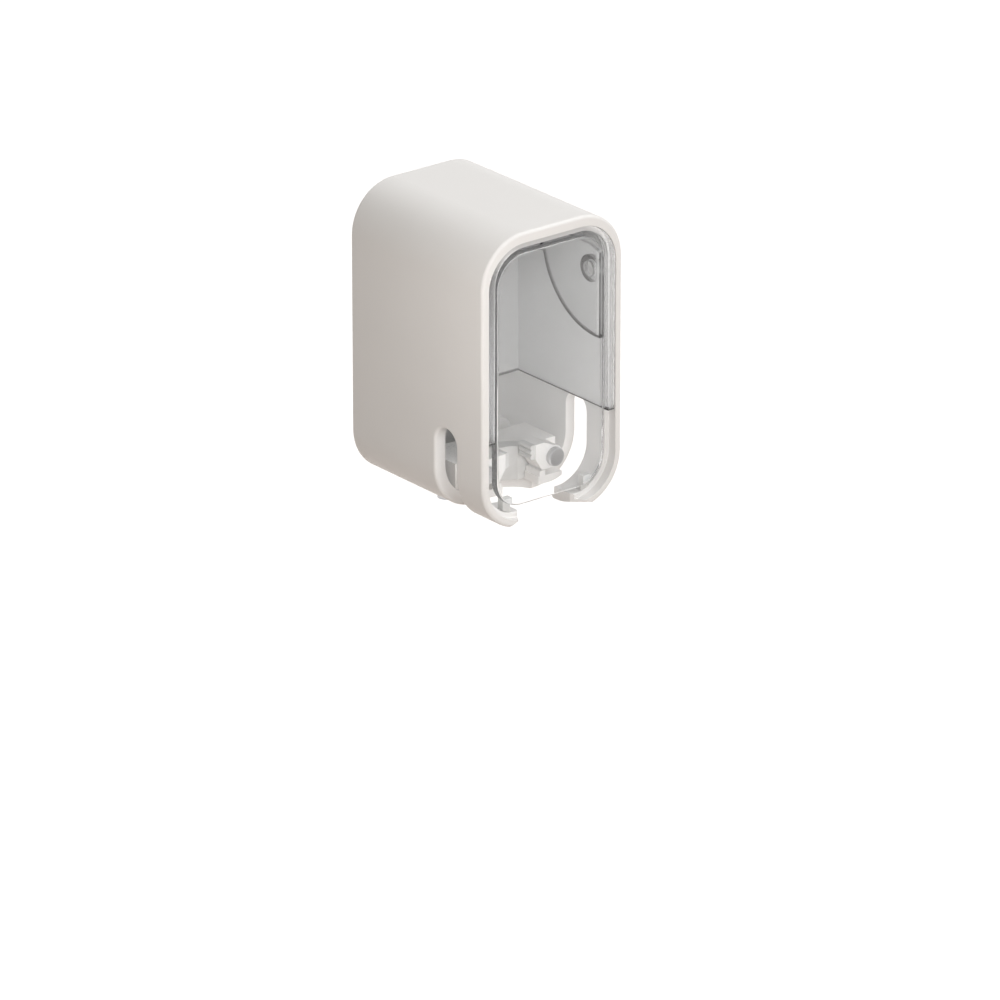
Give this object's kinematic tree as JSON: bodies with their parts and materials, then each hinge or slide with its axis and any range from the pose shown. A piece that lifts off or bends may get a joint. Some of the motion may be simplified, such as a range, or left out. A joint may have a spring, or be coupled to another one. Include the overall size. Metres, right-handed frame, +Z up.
{
  "type": "wall-mounted toothbrush holder",
  "caption": "Wall-mounted holder for an electric brush head: white rounded housing, clear flip cover, gravity jaws that grip the neck, lift-off wall bracket.",
  "frame": {"origin": "middle of the adhesive pad's back face, on the wall", "axes": "+Z up, +Y into the wall, open front faces -Y, +X to the right as seen from the front"},
  "size_m": [0.034, 0.0419, 0.0598],
  "materials": {
    "shell_white": "fine satin moulded plastic, warm white",
    "inner_white": "smooth white moulded plastic",
    "liner_smoke": "lightly smoked clear plastic, polished",
    "cover_clear": "clear plastic, polished, darker at its edges",
    "soft_grey": "soft moulded elastomer",
    "screw_steel": "plain steel",
    "foam_tape": "double-sided acrylic foam"
  },
  "bodies": {
    "bracket": {"wall_bracket": "inner_white", "adhesive_pad": "foam_tape"},
    "housing": {"shell": "shell_white", "back_plate": "shell_white", "back_plate_screws": "screw_steel", "liner": "liner_smoke", "cover_stud_left": "cover_clear", "cover_stud_right": "cover_clear", "cover_bumpers": "soft_grey", "jaw_carrier": "inner_white", "carrier_screws": "screw_steel", "jaw_washers": "soft_grey", "jaw_pin_left": "screw_steel", "jaw_pin_right": "screw_steel", "neck_cradle": "soft_grey"},
    "cover": {"cover": "cover_clear"},
    "jaw_left": {"jaw_left": "inner_white", "jaw_pad_left": "soft_grey"},
    "jaw_right": {"jaw_right": "inner_white", "jaw_pad_right": "soft_grey"}
  },
  "joints": [
    {"name": "housing_lift", "type": "slide", "parent": "bracket", "child": "housing", "axis": [0, 0, 1], "range_m": [0, 0.0125]},
    {"name": "cover_flip", "type": "hinge", "parent": "housing", "child": "cover", "pos_m": [0, -0.0369, 0.0169], "axis": [-1, 0, 0], "range_deg": [0, 90]},
    {"name": "jaw_left_swing", "type": "hinge", "parent": "housing", "child": "jaw_left", "pos_m": [-0.0082, -0.0295, -0.0222], "axis": [0, -1, 0], "range_deg": [0, 35]},
    {"name": "jaw_right_swing", "type": "hinge", "parent": "housing", "child": "jaw_right", "pos_m": [0.0082, -0.0295, -0.0222], "axis": [0, 1, 0], "range_deg": [0, 35]}
  ]
}
